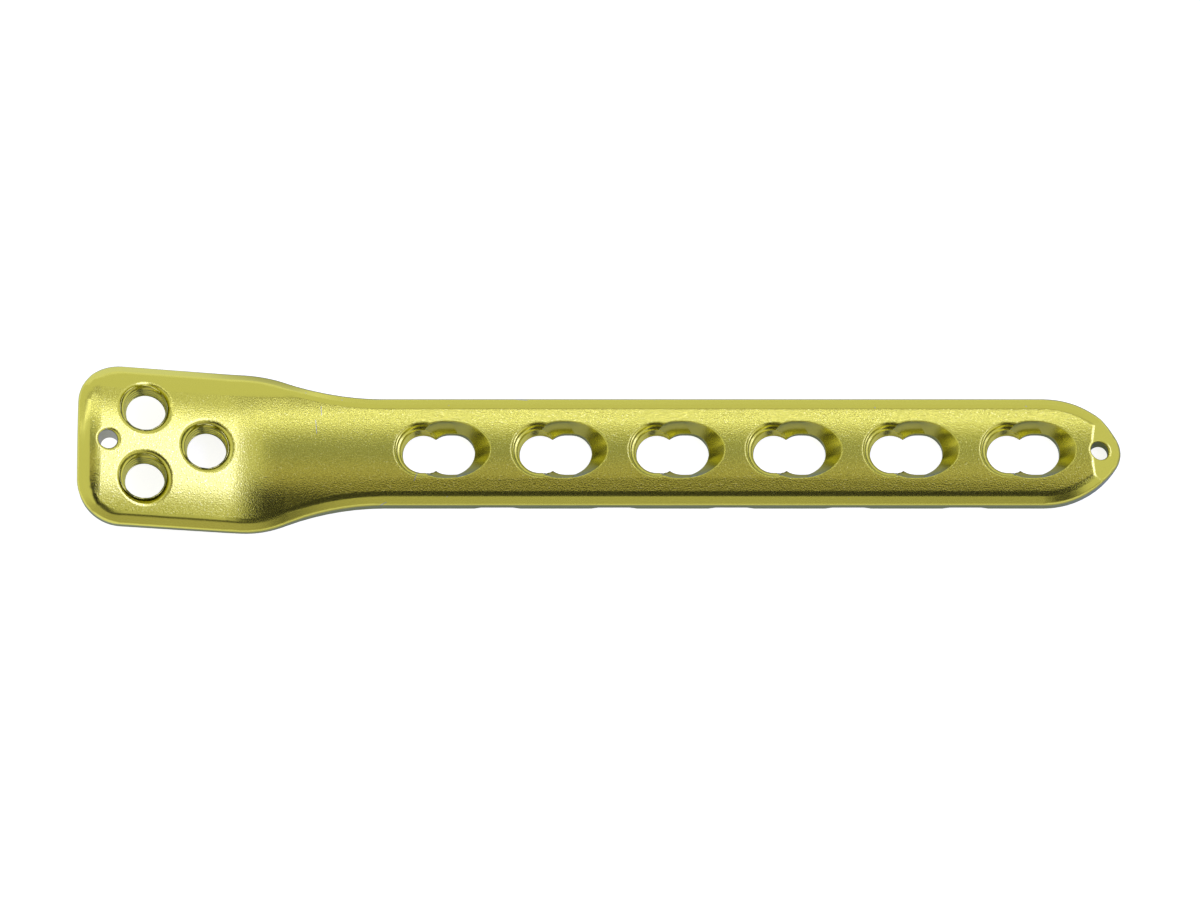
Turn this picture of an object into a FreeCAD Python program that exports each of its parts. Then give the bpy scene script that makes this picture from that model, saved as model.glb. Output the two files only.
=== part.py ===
"""Locking bone plate: a straight shaft with six combination holes and a raised, wider head.

Frame: millimetres, +Z away from the bone. The origin is on the flat underside of the shaft, on the
axis of the first locking lobe. +X runs from the head to the tapered tip, and Y runs across the plate.
"""
import FreeCAD
import Part
import Sketcher
import math
import os

NODE = "bone_plate"

# Driving sizes: alias, value in millimetres or degrees, meaning.
SIZES = [
    ("shaft_width", 16.8, "width of the shaft"),
    ("shaft_thickness", 4.6, "height of the shaft's crest above its underside"),
    ("crown_drop", 2.54, "how far the crowned top falls from its crest to the head's edges"),
    ("head_width", 25.0, "width of the head"),
    ("head_end", 52.6, "from the first locking axis to the end of the head"),
    ("head_corner", 6.4, "plan radius of the head's corners"),
    ("head_rise", 18.0, "slope of the head's top against the shaft, degrees"),
    ("rise_start", 25.4, "from the first locking axis to the vertex of the top's bend"),
    ("rise_radius", 28.0, "radius of the top's bend"),
    ("under_rise", 16.5, "slope of the head's underside, degrees"),
    ("under_start", 26.2, "from the first locking axis to the vertex of the underside's bend"),
    ("under_radius", 34.0, "radius of the underside's bend"),
    ("end_length", 2.8, "length of the stretch at the head's end where the top falls again"),
    ("end_fall", 4.0, "slope of that stretch, degrees"),
    ("end_blend", 5.0, "rounding between that stretch and the head's slope"),
    ("neck_start", 27.9, "from the first locking axis to where the head starts to narrow"),
    ("neck_outer", 18.2, "plan radius of the neck beside the head"),
    ("neck_inner", 42.9, "plan radius of the neck beside the shaft"),
    ("relief_width", 4.1, "width of the head's far shoulder, from the head's edge"),
    ("relief_blend", 6.0, "radius that leads into the far shoulder"),
    ("relief_slope", 30.0, "slope of the far shoulder, degrees"),
    ("tip_reach", 17.4, "from the last locking axis to the nose of the tip"),
    ("tip_side", 13.3, "plan radius of the tip's sides"),
    ("tip_nose", 3.9, "plan radius of the nose"),
    ("facet_back", 4.6, "length of the sloped facet on the tip"),
    ("facet_slope", 33.0, "slope of that facet, degrees"),
    ("bevel_width", 1.55, "width of the bevel around the top, along the top"),
    ("bevel_drop", 0.72, "how far the bevel reaches down the wall"),
    ("crease_round", 2.0, "rounding between the top and its bevel"),
    ("edge_round", 0.7, "rounding between the bevel and the side wall"),
    ("under_round", 0.35, "rounding of the underside's edges"),
    ("ridge_round", 0.8, "rounding of the ridge at the tip"),
    ("hole_pitch", 18.0, "pitch of the combination holes"),
    ("hole_count", 6, "number of combination holes"),
    ("head_thread", 3.5, "radius of a head hole's threaded wall"),
    ("thread_exit", 3.35, "radius of a shaft lobe's threaded cone at the underside"),
    ("thread_taper", 4.0, "half angle of that cone, degrees"),
    ("lobe_rim", 4.45, "radius of a shaft locking lobe at the top"),
    ("lobe_sink", 1.5, "depth of that lobe's countersink"),
    ("slot_from", 3.98, "from a locking axis to the compression slot's near centre"),
    ("slot_to", 4.74, "from a locking axis to the compression slot's far centre"),
    ("slot_radius", 3.22, "half width of the compression slot"),
    ("ball_radius", 4.44, "radius of the gliding surface for a round screw head"),
    ("ball_sink", 0.4, "depth of the ball's centre under the crest"),
    ("ball_from", 2.96, "from a locking axis to the ball's near place"),
    ("ball_turn", 3.97, "from a locking axis to the foot of the ramp's axis"),
    ("track_lip", 1.0, "height of the gliding track's sides above the ball's centre"),
    ("ramp_slope", 47.0, "slope of the compression ramp, degrees"),
    ("head_hole_side", 10.7, "side of the triangle of head holes"),
    ("head_hole_first", 33.3, "from the first locking axis to the single head hole"),
    ("head_rim_round", 0.75, "rounding of a head hole's rim"),
    ("wire_radius", 1.4, "radius of a wire hole"),
    ("wire_head", 47.9, "from the first locking axis to the head's wire hole"),
    ("wire_tip", 3.4, "from the nose back to the tip's wire hole"),
    ("wire_rim_round", 0.45, "rounding of a wire hole's rim"),
    ("tip_rim_round", 0.3, "rounding of the tip's wire hole's rim"),
    ("undercut_at", 11.4, "from a locking axis to the middle of the next undercut"),
    ("undercut_floor", 4.9, "length of an undercut's floor"),
    ("undercut_mouth", 8.0, "length of an undercut at the underside"),
    ("undercut_depth", 1.05, "depth of an undercut"),
    ("spare", 2.0, "how far a cutting profile runs past the plate"),
    ("headroom", 14.0, "height of the cutting profiles above the crest"),
]

doc = FreeCAD.newDocument("bone_plate")
sheet = doc.addObject("Spreadsheet::Sheet", "sizes")
for row, (alias, number, meaning) in enumerate(SIZES, start=1):
    sheet.set(f"A{row}", meaning)
    sheet.set(f"B{row}", str(number))
    sheet.setAlias(f"B{row}", alias)
doc.recompute()

body = doc.addObject("PartDesign::Body", "plate_body")
body.Label = NODE
body.Placement = FreeCAD.Placement()

# Places that several features share, written as expressions on the sheet.
HEAD_END = "-sizes.head_end"
RISE_TANGENT = "sizes.rise_radius * tan(sizes.head_rise / 2)"
RISE_FROM = f"-sizes.rise_start + {RISE_TANGENT}"
RISE_TO = f"-sizes.rise_start - {RISE_TANGENT} * cos(sizes.head_rise)"
RISE_TO_HEIGHT = f"sizes.shaft_thickness + {RISE_TANGENT} * sin(sizes.head_rise)"
UNDER_FROM = "-sizes.under_start + sizes.under_radius * tan(sizes.under_rise / 2)"
LAST_HOLE = "sizes.hole_pitch * (sizes.hole_count - 1)"
NOSE = f"{LAST_HOLE} + sizes.tip_reach"
CROWN_RADIUS = "(sizes.head_width / 2 * sizes.head_width / 2 + sizes.crown_drop * sizes.crown_drop)" \
    " / (2 * sizes.crown_drop)"
RELIEF_FROM = "sizes.head_width / 2 - sizes.relief_width"
BALL_HEIGHT = "sizes.shaft_thickness - sizes.ball_sink"
BEVEL_FOOT = "sizes.shaft_thickness / 2"
HEAD_PAIR = "-sizes.head_hole_first - sizes.head_hole_side * sin(60)"

# Axes of the holes in the head and the tip, each a place along the plate and one across it.
LOCKING_AXES = [
    ("-sizes.head_hole_first", "0"),
    (HEAD_PAIR, "-sizes.head_hole_side / 2"),
    (HEAD_PAIR, "sizes.head_hole_side / 2"),
]
WIRE_HEAD_AXIS = ("-sizes.wire_head", "0")
WIRE_TIP_AXIS = (f"({NOSE} - sizes.wire_tip)", "0")

FULL_TURN = 360

# Limits that tell faces and edges apart: how far a face is laid over, and how near a rim lies to its hole.
UPRIGHT = 0.01
STEEPEST_TOP = 0.5
FLATTEST_BEVEL = 0.9
LEVEL = 0.99
RIM_REACH = 0.15


def value(expression):
    """Return the number that an expression on the sheet gives now."""
    result = sheet.evalExpression(expression)
    return float(getattr(result, "Value", result))


def crest_height(place):
    """Return the expression for the crest's height at a place on the head's slope."""
    return f"(sizes.shaft_thickness + (-({place}) - sizes.rise_start) * tan(sizes.head_rise))"


def under_height(place):
    """Return the expression for the underside's height at a place on the head's slope."""
    return f"((-({place}) - sizes.under_start) * tan(sizes.under_rise))"


def sketch_on(role, name, offset=None, tilt=None):
    """Make a sketch of the body on one of its origin planes.

    offset holds expressions for the plane's shift, and tilt is a turn about the sketch's own x axis.
    """
    sketch = body.newObject("Sketcher::SketchObject", name)
    plane = next(item for item in body.Origin.OriginFeatures if item.Role == role)
    sketch.AttachmentSupport = [(plane, "")]
    sketch.MapMode = "FlatFace"
    if tilt:
        sketch.AttachmentOffset = FreeCAD.Placement(
            FreeCAD.Vector(), FreeCAD.Rotation(FreeCAD.Vector(1, 0, 0), value(tilt)))
        sketch.setExpression("AttachmentOffset.Rotation.Angle", tilt)
    for axis, shift in (offset or {}).items():
        sketch.setExpression(f"AttachmentOffset.Base.{axis}", shift)
    return sketch


def bind(sketch, name, expression, kind, *where):
    """Add a dimension to a sketch and tie it to an expression on the sheet."""
    number = value(expression)
    if kind == "Angle":
        number = math.radians(number)
        expression = f"({expression}) * 1 deg"
    index = sketch.addConstraint(Sketcher.Constraint(kind, *where, number))
    sketch.renameConstraint(index, name)
    sketch.setExpression(f"Constraints.{name}", expression)


def place(sketch, name, element, point, across, up):
    """Tie one point of a sketch to a pair of coordinates."""
    for axis, kind, expression, zero in (("x", "DistanceX", across, -2), ("y", "DistanceY", up, -1)):
        if expression is None:
            continue
        if expression == "0":
            sketch.addConstraint(Sketcher.Constraint("PointOnObject", element, point, zero))
        else:
            bind(sketch, f"{name}_{axis}", expression, kind, element, point)


def vector(across, up):
    """Return a sketch point from two expressions."""
    return FreeCAD.Vector(value(across), value(up), 0)


def polygon(sketch, corners):
    """Draw a closed polygon whose corners are pairs of expressions."""
    points = [vector(*corner) for corner in corners]
    count = len(points)
    for index in range(count):
        sketch.addGeometry(Part.LineSegment(points[index], points[(index + 1) % count]), False)
    for index in range(count):
        sketch.addConstraint(Sketcher.Constraint("Coincident", index, 2, (index + 1) % count, 1))
    for index, (across, up) in enumerate(corners):
        place(sketch, f"corner_{index}", index, 1, across, up)


def join(sketch, count, tangents):
    """Close a chain of elements, tangent at the joints whose numbers are given."""
    for index in range(count):
        kind = "Tangent" if index in tangents else "Coincident"
        sketch.addConstraint(Sketcher.Constraint(kind, index, 2, (index + 1) % count, 1))


def arc(centre, radius, start, end):
    """Return an arc from start to end, in degrees, anticlockwise."""
    circle = Part.Circle(centre, FreeCAD.Vector(0, 0, 1), radius)
    return Part.ArcOfCircle(circle, math.radians(start), math.radians(end))


def finish(item, settings):
    """Set a feature's properties and compute it. A text about sizes is an expression on the sheet."""
    for key, setting in settings.items():
        if isinstance(setting, str) and "sizes." in setting:
            item.setExpression(key, setting)
        else:
            setattr(item, key, setting)
    doc.recompute()
    return item


def feature(kind, name, profile, **settings):
    """Add a feature on a sketch."""
    item = body.newObject(f"PartDesign::{kind}", name)
    item.Profile = profile
    return finish(item, settings)


def cut_across(name, sketch):
    """Cut a side profile right through the plate, both ways from its middle."""
    return feature("Pocket", name, sketch, SideType="Symmetric", Length="sizes.head_width * 2")


def outline():
    """Draw the plan of the plate on the XY plane and return the sketch."""
    sketch = sketch_on("XY_Plane", "plan")
    head, shaft = value("sizes.head_width") / 2, value("sizes.shaft_width") / 2
    corner, side, nose = value("sizes.head_corner"), value("sizes.tip_side"), value("sizes.tip_nose")
    outer, inner = value("sizes.neck_outer"), value("sizes.neck_inner")
    left, neck = value(HEAD_END), -value("sizes.neck_start")
    turn = math.degrees(math.acos(1 - (head - shaft) / (outer + inner)))
    shoulder = neck + (outer + inner) * math.sin(math.radians(turn))
    nose_at = value(NOSE) - nose
    rise = side - shaft
    taper = nose_at - math.sqrt((side - nose) ** 2 - rise ** 2)
    lean = math.degrees(math.atan2(nose_at - taper, rise))

    def point(across, up):
        return FreeCAD.Vector(across, up, 0)

    chain = [
        Part.LineSegment(point(left + corner, -head), point(neck, -head)),
        arc(point(neck, outer - head), outer, 270, 270 + turn),
        arc(point(shoulder, -shaft - inner), inner, 90, 90 + turn),
        Part.LineSegment(point(shoulder, -shaft), point(taper, -shaft)),
        arc(point(taper, rise), side, 270, 270 + lean),
        arc(point(nose_at, 0), nose, lean - 90, 90 - lean),
        arc(point(taper, -rise), side, 90 - lean, 90),
        Part.LineSegment(point(taper, shaft), point(shoulder, shaft)),
        arc(point(shoulder, shaft + inner), inner, 270 - turn, 270),
        arc(point(neck, head - outer), outer, 90 - turn, 90),
        Part.LineSegment(point(neck, head), point(left + corner, head)),
        arc(point(left + corner, head - corner), corner, 90, 180),
        Part.LineSegment(point(left, head - corner), point(left, corner - head)),
        arc(point(left + corner, corner - head), corner, 180, 270),
    ]
    for item in chain:
        sketch.addGeometry(item, False)
    hollow = {2, 8}
    for index in range(len(chain)):
        following = (index + 1) % len(chain)
        leave = 1 if index in hollow else 2
        enter = 2 if following in hollow else 1
        sketch.addConstraint(Sketcher.Constraint("Tangent", index, leave, following, enter))
    for index in (0, 3, 7, 10):
        sketch.addConstraint(Sketcher.Constraint("Horizontal", index))
    sketch.addConstraint(Sketcher.Constraint("Vertical", 12))
    radii = {
        1: "neck_outer", 2: "neck_inner", 4: "tip_side", 5: "tip_nose", 6: "tip_side",
        8: "neck_inner", 9: "neck_outer", 11: "head_corner", 13: "head_corner",
    }
    for index, alias in radii.items():
        bind(sketch, f"radius_{index}", f"sizes.{alias}", "Radius", index)
    place(sketch, "head_near", 0, 2, "-sizes.neck_start", "-sizes.head_width / 2")
    place(sketch, "head_far", 10, 1, "-sizes.neck_start", "sizes.head_width / 2")
    place(sketch, "shaft_near", 3, 1, None, "-sizes.shaft_width / 2")
    place(sketch, "shaft_far", 7, 1, None, "sizes.shaft_width / 2")
    place(sketch, "end", 12, 1, HEAD_END, None)
    place(sketch, "nose", 5, 3, f"{NOSE} - sizes.tip_nose", "0")
    return sketch


def crown_section(name, offset, tilt=None):
    """Draw the space above the crowned top, across the plate, with the crest at the sketch's origin."""
    sketch = sketch_on("YZ_Plane", name, offset, tilt)
    radius, blend = value(CROWN_RADIUS), value("sizes.relief_blend")
    reach, top = value("sizes.head_width / 2 + sizes.spare"), value("sizes.headroom")
    start, slope = value(RELIEF_FROM), value("sizes.relief_slope")
    lean = math.degrees(math.asin(start / radius))
    near = math.degrees(math.asin(reach / radius))
    centre = FreeCAD.Vector(0, -radius, 0)
    out = FreeCAD.Vector(math.sin(math.radians(lean)), math.cos(math.radians(lean)), 0)
    blend_centre = centre + out * (radius - blend)
    shoulder = blend_centre + FreeCAD.Vector(
        blend * math.sin(math.radians(slope)), blend * math.cos(math.radians(slope)), 0)
    drop = shoulder.y - (reach - shoulder.x) * math.tan(math.radians(slope))
    edge = -radius + math.sqrt(radius ** 2 - reach ** 2)
    chain = [
        arc(centre, radius, 90 - lean, 90 + near),
        Part.LineSegment(FreeCAD.Vector(-reach, edge, 0), FreeCAD.Vector(-reach, top, 0)),
        Part.LineSegment(FreeCAD.Vector(-reach, top, 0), FreeCAD.Vector(reach, top, 0)),
        Part.LineSegment(FreeCAD.Vector(reach, top, 0), FreeCAD.Vector(reach, drop, 0)),
        Part.LineSegment(FreeCAD.Vector(reach, drop, 0), shoulder),
        arc(blend_centre, blend, 90 - slope, 90 - lean),
    ]
    for item in chain:
        sketch.addGeometry(item, False)
    join(sketch, len(chain), {4, 5})
    sketch.addConstraint(Sketcher.Constraint("Vertical", 1))
    sketch.addConstraint(Sketcher.Constraint("Horizontal", 2))
    sketch.addConstraint(Sketcher.Constraint("Vertical", 3))
    bind(sketch, "crown", CROWN_RADIUS, "Radius", 0)
    bind(sketch, "blend", "sizes.relief_blend", "Radius", 5)
    place(sketch, "centre", 0, 3, "0", f"-({CROWN_RADIUS})")
    place(sketch, "near", 1, 2, "-sizes.head_width / 2 - sizes.spare", "sizes.headroom")
    place(sketch, "far", 3, 1, "sizes.head_width / 2 + sizes.spare", None)
    place(sketch, "shoulder", 0, 1, RELIEF_FROM, None)
    bind(sketch, "slope", "180 - sizes.relief_slope", "Angle", 4)
    return sketch


def cut_crown():
    """Shape the top: the straight shaft, the bend up to the head, and the head's slope."""
    straight = crown_section("crown_of_shaft", {"y": "sizes.shaft_thickness", "z": RISE_FROM})
    axis = sketch_axis(straight, "sizes.rise_radius")
    feature("Pocket", "shaft_crown", straight, Type="ThroughAll", Reversed=True)
    feature("Groove", "bend_crown", straight, ReferenceAxis=(straight, [axis]), Angle="sizes.head_rise")
    sloped = crown_section("crown_of_head", {"y": RISE_TO_HEIGHT, "z": RISE_TO}, "sizes.head_rise")
    feature("Pocket", "head_crown", sloped, Type="ThroughAll")
    end = f"{HEAD_END} + sizes.end_length"
    falling = crown_section("crown_of_end", {"y": crest_height(end), "z": end}, "-sizes.end_fall")
    feature("Pocket", "end_crown", falling, Type="ThroughAll")


def end_crease(edge, middle, normals):
    """Tell whether an edge lies between the head's slope and the stretch that falls at its end."""
    near = abs(middle.x - value(f"{HEAD_END} + sizes.end_length")) < value("sizes.end_length") / 2
    return near and min(normal.z for normal in normals) > 0.5


def sketch_axis(sketch, height):
    """Add a level construction line to a sketch, and return the name it has as an axis."""
    first, last = vector("-sizes.spare", height), vector("sizes.spare", height)
    line = sketch.addGeometry(Part.LineSegment(first, last), True)
    place(sketch, "axis_from", line, 1, "-sizes.spare", height)
    place(sketch, "axis_to", line, 2, "sizes.spare", height)
    return "Axis0"


def cut_underside():
    """Cut the flat underside of the shaft and the head's sloped underside in one profile."""
    sketch = sketch_on("XZ_Plane", "underside")
    radius, slope = value("sizes.under_radius"), value("sizes.under_rise")
    start = value(UNDER_FROM)
    left, right = value(f"{HEAD_END} - sizes.spare"), value(f"{NOSE} + sizes.spare")
    floor = -2 * value("sizes.spare")
    turn = math.radians(slope)
    foot = FreeCAD.Vector(start - radius * math.sin(turn), radius * (1 - math.cos(turn)), 0)
    height = foot.y + (foot.x - left) * math.tan(turn)
    corners = [(start, 0), (right, 0), (right, floor), (left, floor), (left, height)]
    points = [FreeCAD.Vector(across, up, 0) for across, up in corners] + [foot]
    sketch.addGeometry(arc(FreeCAD.Vector(start, radius, 0), radius, 270 - slope, 270), False)
    for first, last in zip(points, points[1:]):
        sketch.addGeometry(Part.LineSegment(first, last), False)
    join(sketch, 6, {0, 5})
    for index, kind in ((1, "Horizontal"), (2, "Vertical"), (3, "Horizontal"), (4, "Vertical")):
        sketch.addConstraint(Sketcher.Constraint(kind, index))
    bind(sketch, "bend", "sizes.under_radius", "Radius", 0)
    place(sketch, "bend_end", 0, 2, UNDER_FROM, "0")
    place(sketch, "far_end", 2, 2, f"{NOSE} + sizes.spare", "-2 * sizes.spare")
    place(sketch, "near_end", 4, 1, f"{HEAD_END} - sizes.spare", None)
    bind(sketch, "slope", "-sizes.under_rise", "Angle", 5)
    cut_across("underside_cut", sketch)


def meeting(shape, edge):
    """Return the middle of an edge and the outward normals of the faces beside it."""
    middle = edge.valueAt((edge.FirstParameter + edge.LastParameter) / 2)
    normals = []
    for face in shape.ancestorsOfType(edge, Part.Face):
        normals.append(face.normalAt(*face.Surface.parameter(middle)))
    return middle, normals


def dress(kind, name, test, **settings):
    """Add a chamfer or fillet to the edges of the present shape that pass a test."""
    base = body.Tip
    names = []
    for index, edge in enumerate(base.Shape.Edges, start=1):
        if not edge.Degenerated and test(edge, *meeting(base.Shape, edge)):
            names.append(f"Edge{index}")
    item = body.newObject(f"PartDesign::{kind}", name)
    item.Base = (base, names)
    return finish(item, settings)


def slopes(normals):
    """Return the least and the most that faces are laid over: 0 for a wall, 1 for a level face."""
    laid = [abs(normal.z) for normal in normals]
    return min(laid), max(laid)


def beside_shaft(middle):
    """Tell whether a place is on the near side of the plate, beside the straight shaft."""
    return middle.y < 0 < middle.x < value(LAST_HOLE)


def wall_and_top(edge, middle, normals):
    """Tell whether an edge of the shaft's near side lies between its wall and its top."""
    least, most = slopes(normals)
    return beside_shaft(middle) and least < UPRIGHT and most > STEEPEST_TOP and middle.z > value(BEVEL_FOOT)


def under_edge(edge, middle, normals):
    """Tell whether an edge of the shaft's near side lies between its wall and the underside."""
    least, most = slopes(normals)
    return beside_shaft(middle) and least < UPRIGHT and most > LEVEL and middle.z < value(BEVEL_FOOT)


def crease(edge, middle, normals):
    """Tell whether an edge of the shaft's near side lies between the top and the bevel."""
    least, most = slopes(normals)
    return beside_shaft(middle) and STEEPEST_TOP < least < FLATTEST_BEVEL < most


def bevel_and_wall(edge, middle, normals):
    """Tell whether an edge of the shaft's near side lies between the bevel and the wall."""
    least, most = slopes(normals)
    return beside_shaft(middle) and least < UPRIGHT and STEEPEST_TOP < most < FLATTEST_BEVEL


def cut_facet():
    """Cut the sloped facet on the tip, and round the ridge where it meets the crown."""
    sketch = sketch_on("XZ_Plane", "facet")
    ridge = f"{NOSE} - sizes.facet_back"
    run = "sizes.spare / tan(sizes.facet_slope)"
    polygon(sketch, [
        (f"{ridge} - {run}", "sizes.shaft_thickness + sizes.spare"),
        (f"{NOSE} + sizes.spare",
         "sizes.shaft_thickness - (sizes.facet_back + sizes.spare) * tan(sizes.facet_slope)"),
        (f"{NOSE} + sizes.spare", "sizes.shaft_thickness + sizes.spare"),
    ])
    cut_across("tip_facet", sketch)

    def at_ridge(edge, middle, normals):
        lean = [abs(normal.x) for normal in normals]
        on_facet = abs(max(lean) - value("sin(sizes.facet_slope)")) < UPRIGHT
        near_ridge = abs(middle.x - value(ridge)) < value("sizes.facet_back") / 2
        return on_facet and near_ridge and min(lean) < UPRIGHT and middle.z > value(BEVEL_FOOT)

    dress("Fillet", "tip_ridge", at_ridge, Radius="sizes.ridge_round")


def cut_undercuts():
    """Cut the undercuts that keep the shaft's underside off the bone between the holes."""
    sketch = sketch_on("XZ_Plane", "undercut")
    middle = "sizes.undercut_at"
    slope = "(sizes.undercut_mouth - sizes.undercut_floor) / 2 / sizes.undercut_depth"
    wide = f"sizes.undercut_mouth / 2 + {slope} * sizes.spare"
    polygon(sketch, [
        (f"{middle} - ({wide})", "-sizes.spare"),
        (f"{middle} + ({wide})", "-sizes.spare"),
        (f"{middle} + sizes.undercut_floor / 2", "sizes.undercut_depth"),
        (f"{middle} - sizes.undercut_floor / 2", "sizes.undercut_depth"),
    ])
    first = cut_across("undercut_first", sketch)
    along_shaft("undercuts", first, "sizes.hole_count - 1")


def along_shaft(name, original, count):
    """Repeat a cut along the shaft at the pitch of the holes."""
    pattern = body.newObject("PartDesign::LinearPattern", name)
    pattern.Originals = [original]
    axis = next(item for item in body.Origin.OriginFeatures if item.Role == "X_Axis")
    pattern.Direction = (axis, [""])
    pattern.setExpression("Length", f"sizes.hole_pitch * ({count} - 1)")
    pattern.setExpression("Occurrences", count)
    body.Tip = pattern
    doc.recompute()
    return pattern


def turned(name, centre, corners, far="0"):
    """Cut a profile turned about an upright axis. Corners are pairs of radius and height."""
    sketch = sketch_on("XZ_Plane", f"{name}_profile", {"z": f"-({far})"} if far != "0" else None)
    polygon(sketch, [(f"{centre} + {radius}" if radius != "0" else centre, height)
                     for radius, height in corners])
    low, high = vector(centre, corners[0][1]), vector(centre, corners[-1][1])
    line = sketch.addGeometry(Part.LineSegment(low, high), True)
    place(sketch, "axis_low", line, 1, centre, corners[0][1])
    place(sketch, "axis_high", line, 2, centre, corners[-1][1])
    return feature("Groove", name, sketch, ReferenceAxis=(sketch, ["Axis0"]), Angle=FULL_TURN)


def cut_locking_lobes():
    """Cut the threaded end of each combination hole: a cone under a wider countersink."""
    sink = "sizes.shaft_thickness - sizes.lobe_sink"
    taper = "tan(sizes.thread_taper)"
    spread = f"(sizes.lobe_rim - sizes.thread_exit - ({sink}) * {taper}) / sizes.lobe_sink"
    first = turned("lobe_first", "0", [
        ("0", "-sizes.spare"),
        (f"(sizes.thread_exit - sizes.spare * {taper})", "-sizes.spare"),
        (f"(sizes.thread_exit + ({sink}) * {taper})", sink),
        (f"(sizes.lobe_rim + {spread} * sizes.spare)", "sizes.shaft_thickness + sizes.spare"),
        ("0", "sizes.shaft_thickness + sizes.spare"),
    ])
    along_shaft("lobes", first, "sizes.hole_count")


def cut_compression_ends():
    """Cut the smooth end of each combination hole: an upright slot under a gliding ball track."""
    slot = sketch_on("XY_Plane", "slot")
    radius = value("sizes.slot_radius")
    near, far = vector("sizes.slot_from", "0"), vector("sizes.slot_to", "0")
    across = FreeCAD.Vector(0, radius, 0)
    slot.addGeometry(Part.LineSegment(near - across, far - across), False)
    slot.addGeometry(arc(far, radius, -90, 90), False)
    slot.addGeometry(Part.LineSegment(far + across, near + across), False)
    slot.addGeometry(arc(near, radius, 90, 270), False)
    join(slot, 4, {0, 1, 2, 3})
    bind(slot, "half_width", "sizes.slot_radius", "Radius", 1)
    slot.addConstraint(Sketcher.Constraint("Equal", 1, 3))
    place(slot, "near", 3, 3, "sizes.slot_from", "0")
    place(slot, "far", 1, 3, "sizes.slot_to", "0")
    upright = feature("Pocket", "slot_first", slot, SideType="Symmetric",
                      Length="2 * (sizes.shaft_thickness + sizes.spare)")
    along_shaft("slots", upright, "sizes.hole_count")

    ball = sketch_on("XZ_Plane", "ball")
    size = value("sizes.ball_radius")
    centre = vector("sizes.ball_from", BALL_HEIGHT)
    up = FreeCAD.Vector(0, size, 0)
    ball.addGeometry(arc(centre, size, -90, 90), False)
    ball.addGeometry(Part.LineSegment(centre + up, centre - up), False)
    ball.addConstraint(Sketcher.Constraint("Coincident", 0, 2, 1, 1))
    ball.addConstraint(Sketcher.Constraint("Coincident", 1, 2, 0, 1))
    ball.addConstraint(Sketcher.Constraint("Vertical", 1))
    bind(ball, "size", "sizes.ball_radius", "Radius", 0)
    place(ball, "centre", 0, 3, "sizes.ball_from", BALL_HEIGHT)
    ball.addConstraint(Sketcher.Constraint("PointOnObject", 0, 3, 1))
    line = ball.addGeometry(Part.LineSegment(centre - up, centre + up), True)
    place(ball, "axis_low", line, 1, "sizes.ball_from", f"{BALL_HEIGHT} - sizes.ball_radius")
    place(ball, "axis_high", line, 2, "sizes.ball_from", f"{BALL_HEIGHT} + sizes.ball_radius")
    start = feature("Groove", "ball_first", ball, ReferenceAxis=(ball, ["Axis0"]), Angle=FULL_TURN)
    along_shaft("balls", start, "sizes.hole_count")

    section = sketch_on("YZ_Plane", "track_section", {"y": BALL_HEIGHT, "z": "sizes.ball_from"})
    lip = value("sizes.track_lip")
    section.addGeometry(arc(FreeCAD.Vector(), size, 180, 360), False)
    corners = [(size, 0), (size, lip), (-size, lip), (-size, 0)]
    points = [FreeCAD.Vector(across, up, 0) for across, up in corners]
    for first, last in zip(points, points[1:]):
        section.addGeometry(Part.LineSegment(first, last), False)
    join(section, 4, {0, 3})
    section.addConstraint(Sketcher.Constraint("Coincident", 0, 3, -1, 1))
    section.addConstraint(Sketcher.Constraint("Vertical", 1))
    section.addConstraint(Sketcher.Constraint("Vertical", 3))
    section.addConstraint(Sketcher.Constraint("Horizontal", 2))
    bind(section, "size", "sizes.ball_radius", "Radius", 0)
    place(section, "lip", 2, 1, None, "sizes.track_lip")
    path = sketch_on("XZ_Plane", "track_path")
    climb = "sizes.ball_radius * 2"
    stops = [
        ("sizes.ball_from", BALL_HEIGHT),
        ("sizes.ball_turn", BALL_HEIGHT),
        (f"sizes.ball_turn + {climb} * cos(sizes.ramp_slope)",
         f"{BALL_HEIGHT} + {climb} * sin(sizes.ramp_slope)"),
    ]
    points = [vector(*stop) for stop in stops]
    path.addGeometry(Part.LineSegment(points[0], points[1]), False)
    path.addGeometry(Part.LineSegment(points[1], points[2]), False)
    path.addConstraint(Sketcher.Constraint("Coincident", 0, 2, 1, 1))
    place(path, "start", 0, 1, *stops[0])
    place(path, "turn", 1, 1, *stops[1])
    place(path, "end", 1, 2, *stops[2])
    track = body.newObject("PartDesign::SubtractivePipe", "track_first")
    track.Profile = section
    track.Spine = (path, ["Edge1", "Edge2"])
    track.Transition = "Right corner"
    doc.recompute()
    along_shaft("tracks", track, "sizes.hole_count")


def round_hole(name, axis, radius, low, high):
    """Cut an upright round hole between two heights."""
    across, far = axis
    turned(name, across, [("0", low), (radius, low), (radius, high), ("0", high)], far)


def head_hole(name, axis, radius):
    """Cut a round hole through the sloped head, well past both of its faces."""
    low = f"{under_height(axis[0])} - 2 * sizes.spare"
    high = f"{crest_height(axis[0])} + 2 * sizes.spare"
    round_hole(name, axis, radius, low, high)


def rims_at(axes, radius):
    """Return a test for the upper rims of the holes of one radius on the given axes."""
    def test(edge, middle, normals):
        least, most = slopes(normals)
        upper = least < UPRIGHT and most > STEEPEST_TOP and sum(normal.z for normal in normals) > 0
        away = min(math.hypot(middle.x - value(across), middle.y - value(far)) for across, far in axes)
        return upper and abs(away / value(radius) - 1) < RIM_REACH
    return test


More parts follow.
